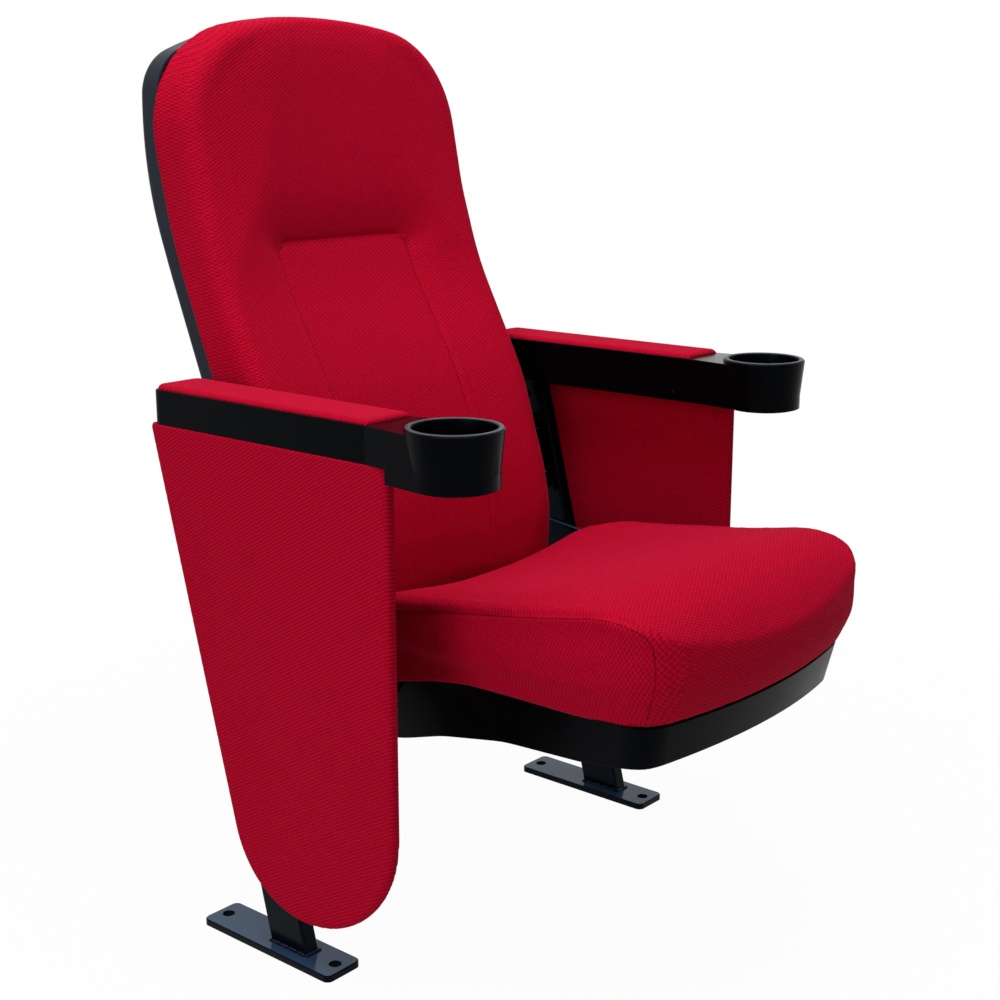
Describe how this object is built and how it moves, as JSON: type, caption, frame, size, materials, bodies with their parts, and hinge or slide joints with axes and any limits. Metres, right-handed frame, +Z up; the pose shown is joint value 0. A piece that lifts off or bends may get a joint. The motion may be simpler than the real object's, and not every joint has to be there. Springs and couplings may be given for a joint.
{
  "type": "tip-up auditorium seat",
  "caption": "Upholstered auditorium seat with a tip-up cushion, curved back, side panels and padded armrests with cup holders on floor-bolted posts.",
  "frame": {"origin": "centre of the floor bolt pattern, on the floor", "axes": "+Z up; the sitter faces -Y; +X to the sitter's left"},
  "size_m": [0.6764, 0.7629, 1.059],
  "materials": {
    "red_fabric": "matte",
    "black_plastic": "satin",
    "black_steel": "gloss",
    "plywood": "matte",
    "zinc_steel": "satin",
    "nylon": "satin",
    "rubber": "matte",
    "spring_steel": "satin"
  },
  "bodies": {
    "frame": {"back_board": "plywood", "back_cushion": "red_fabric", "back_shell": "black_plastic", "back_shell_screws": "black_steel", "left_arm_pad": "red_fabric", "left_arm_pad_base": "plywood", "left_arm_plate": "black_steel", "left_arm_screw_1": "black_steel", "left_arm_screw_2": "black_steel", "left_armrest": "black_plastic", "left_axle_bolt": "black_steel", "left_back_bracket": "black_steel", "left_back_bracket_bolts": "black_steel", "left_down_stop": "rubber", "left_foot_plate": "black_steel", "left_hinge_bracket": "black_steel", "left_panel_screw_1": "black_steel", "left_panel_screw_2": "black_steel", "left_post": "black_steel", "left_side_board": "plywood", "left_side_cover": "red_fabric", "left_spring_anchor": "zinc_steel", "left_up_stop": "rubber", "right_arm_pad": "red_fabric", "right_arm_pad_base": "plywood", "right_arm_plate": "black_steel", "right_arm_screw_1": "black_steel", "right_arm_screw_2": "black_steel", "right_armrest": "black_plastic", "right_axle_bolt": "black_steel", "right_back_bracket": "black_steel", "right_back_bracket_bolts": "black_steel", "right_down_stop": "rubber", "right_foot_plate": "black_steel", "right_hinge_bracket": "black_steel", "right_panel_screw_1": "black_steel", "right_panel_screw_2": "black_steel", "right_post": "black_steel", "right_side_board": "plywood", "right_side_cover": "red_fabric", "right_spring_anchor": "zinc_steel", "right_up_stop": "rubber", "seat_axle": "zinc_steel"},
    "seat": {"seat_pan": "black_plastic", "seat_pan_screws": "black_steel", "seat_board": "plywood", "seat_cushion": "red_fabric", "left_seat_rail": "black_steel", "right_seat_rail": "black_steel", "seat_front_bar": "black_steel", "seat_rear_bar": "black_steel", "left_hinge_sleeve": "black_steel", "right_hinge_sleeve": "black_steel", "left_hinge_bush": "nylon", "right_hinge_bush": "nylon", "left_return_spring": "spring_steel", "right_return_spring": "spring_steel"}
  },
  "joints": [
    {"name": "seat_tip", "type": "hinge", "parent": "frame", "child": "seat", "pos_m": [0, -0.0775, 0.32], "axis": [-1, 0, 0], "range_deg": [0, 70], "stiffness_Nm_per_rad": 7.4, "springref_deg": 100.27}
  ]
}
